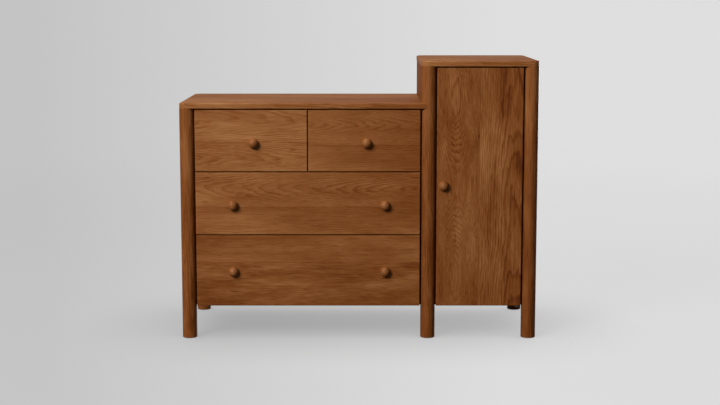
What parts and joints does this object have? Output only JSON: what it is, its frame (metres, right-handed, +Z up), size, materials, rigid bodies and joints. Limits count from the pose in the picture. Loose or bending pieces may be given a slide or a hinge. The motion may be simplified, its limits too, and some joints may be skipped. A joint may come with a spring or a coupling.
{
  "type": "dresser tower",
  "caption": "Low chest of drawers joined to a taller cabinet, in brown wood with round corner posts, flush rounded tops, ball knobs, telescopic slides and a pivoting door.",
  "frame": {"origin": "on the floor, at the middle of the width and of the depth with the knobs counted", "axes": "+X to the right along the width, +Y to the back, +Z up; the fronts face -Y"},
  "size_m": [1.22, 0.53, 0.954],
  "materials": {
    "stained_wood": "satin stained",
    "case_wood": "thinly stained",
    "drawer_wood": "clear satin",
    "thin_board": "satin",
    "black_steel": "black coated",
    "zinc_steel": "zinc plated",
    "nylon": "matte",
    "catch_plastic": "matte"
  },
  "bodies": {
    "case": {"front_left_post": "stained_wood", "back_left_post": "stained_wood", "front_middle_post": "stained_wood", "front_right_post": "stained_wood", "back_right_post": "stained_wood", "dresser_top": "stained_wood", "tower_top": "stained_wood", "left_side_panel": "stained_wood", "centre_panel": "stained_wood", "right_side_panel": "stained_wood", "dresser_back": "thin_board", "tower_back": "thin_board", "dresser_bottom": "case_wood", "tower_bottom": "stained_wood", "drawer_deck": "case_wood", "drawer_divider": "case_wood", "middle_front_rail": "case_wood", "dresser_top_rails": "case_wood", "tower_top_rails": "case_wood", "slide_battens": "case_wood", "slide_cabinet_members": "black_steel", "tower_shelves": "stained_wood", "shelf_pins": "zinc_steel", "door_pivot_plates": "black_steel", "door_catch": "catch_plastic", "foot_glides": "nylon"},
    "door": {"door_panel": "stained_wood", "door_knob": "stained_wood", "door_pivot_bushes": "nylon", "door_strike": "zinc_steel"},
    "top_left_drawer": {"top_left_drawer_front": "stained_wood", "top_left_drawer_sides": "drawer_wood", "top_left_drawer_ends": "drawer_wood", "top_left_drawer_floor": "thin_board", "top_left_drawer_knob": "stained_wood", "top_left_drawer_runners": "black_steel"},
    "top_left_drawer_intermediates": {"top_left_drawer_intermediates": "black_steel"},
    "top_right_drawer": {"top_right_drawer_front": "stained_wood", "top_right_drawer_sides": "drawer_wood", "top_right_drawer_ends": "drawer_wood", "top_right_drawer_floor": "thin_board", "top_right_drawer_knob": "stained_wood", "top_right_drawer_runners": "black_steel"},
    "top_right_drawer_intermediates": {"top_right_drawer_intermediates": "black_steel"},
    "middle_drawer": {"middle_drawer_front": "stained_wood", "middle_drawer_sides": "drawer_wood", "middle_drawer_ends": "drawer_wood", "middle_drawer_floor": "thin_board", "middle_drawer_knobs": "stained_wood", "middle_drawer_runners": "black_steel"},
    "middle_drawer_intermediates": {"middle_drawer_intermediates": "black_steel"},
    "bottom_drawer": {"bottom_drawer_front": "stained_wood", "bottom_drawer_sides": "drawer_wood", "bottom_drawer_ends": "drawer_wood", "bottom_drawer_floor": "thin_board", "bottom_drawer_knobs": "stained_wood", "bottom_drawer_runners": "black_steel"},
    "bottom_drawer_intermediates": {"bottom_drawer_intermediates": "black_steel"}
  },
  "joints": [
    {"name": "top_left_drawer_slide", "type": "slide", "parent": "case", "child": "top_left_drawer", "axis": [0, -1, 0], "range_m": [0, 0.39]},
    {"name": "top_left_drawer_intermediate_slide", "type": "slide", "parent": "case", "child": "top_left_drawer_intermediates", "axis": [0, -1, 0], "range_m": [0, 0.195]},
    {"name": "top_right_drawer_slide", "type": "slide", "parent": "case", "child": "top_right_drawer", "axis": [0, -1, 0], "range_m": [0, 0.39]},
    {"name": "top_right_drawer_intermediate_slide", "type": "slide", "parent": "case", "child": "top_right_drawer_intermediates", "axis": [0, -1, 0], "range_m": [0, 0.195]},
    {"name": "middle_drawer_slide", "type": "slide", "parent": "case", "child": "middle_drawer", "axis": [0, -1, 0], "range_m": [0, 0.39]},
    {"name": "middle_drawer_intermediate_slide", "type": "slide", "parent": "case", "child": "middle_drawer_intermediates", "axis": [0, -1, 0], "range_m": [0, 0.195]},
    {"name": "bottom_drawer_slide", "type": "slide", "parent": "case", "child": "bottom_drawer", "axis": [0, -1, 0], "range_m": [0, 0.39]},
    {"name": "bottom_drawer_intermediate_slide", "type": "slide", "parent": "case", "child": "bottom_drawer_intermediates", "axis": [0, -1, 0], "range_m": [0, 0.195]},
    {"name": "door_pivot", "type": "hinge", "parent": "case", "child": "door", "pos_m": [0.546, -0.232, 0.5], "axis": [0, 0, 1], "range_deg": [0, 110]}
  ],
  "couplings": [
    {"joint": "top_left_drawer_intermediate_slide", "follows": "top_left_drawer_slide", "ratio": 0.5},
    {"joint": "top_right_drawer_intermediate_slide", "follows": "top_right_drawer_slide", "ratio": 0.5},
    {"joint": "middle_drawer_intermediate_slide", "follows": "middle_drawer_slide", "ratio": 0.5},
    {"joint": "bottom_drawer_intermediate_slide", "follows": "bottom_drawer_slide", "ratio": 0.5}
  ]
}
